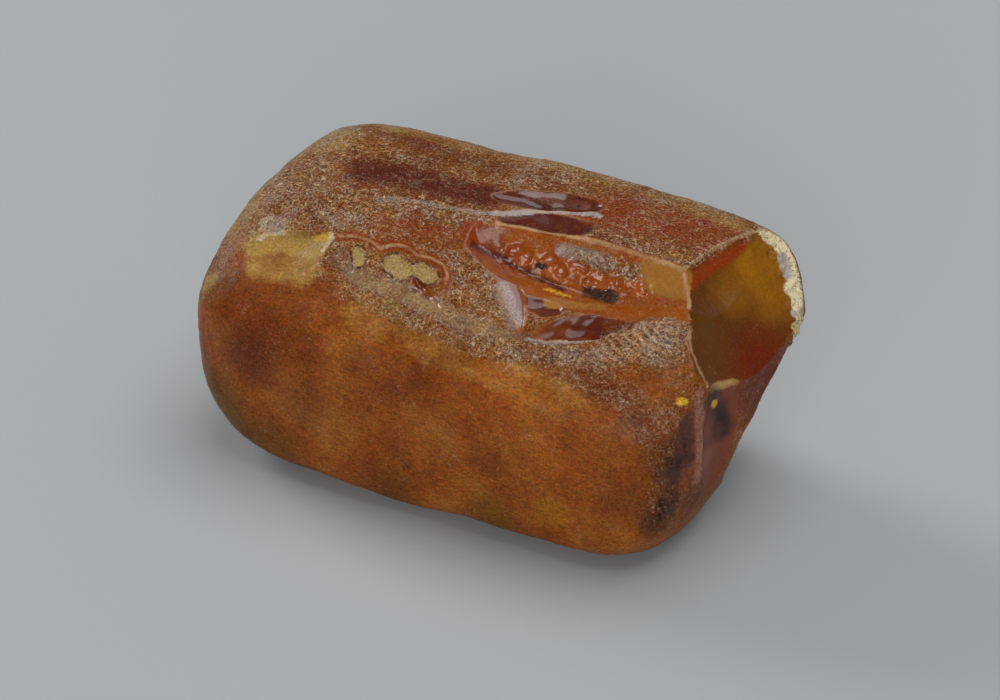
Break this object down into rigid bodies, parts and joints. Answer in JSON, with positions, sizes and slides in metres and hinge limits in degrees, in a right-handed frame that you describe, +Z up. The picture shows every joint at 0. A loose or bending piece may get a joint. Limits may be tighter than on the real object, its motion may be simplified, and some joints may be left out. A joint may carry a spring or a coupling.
{
  "type": "raw carnelian pebble",
  "caption": "River-worn bar of raw carnelian with flat worn sides, a broken end, a notch and shallow flake hollows along its upper front edge.",
  "frame": {"origin": "under the middle of the stone's bounding box, on the surface that the stone rests on", "axes": "+Z up from the worn flat underside, +X along the long side towards the broken end, -Y towards the front face"},
  "size_m": [0.0662, 0.032, 0.0314],
  "materials": {
    "carnelian": "waxy"
  },
  "bodies": {
    "root": {"pebble": "carnelian"}
  },
  "joints": []
}
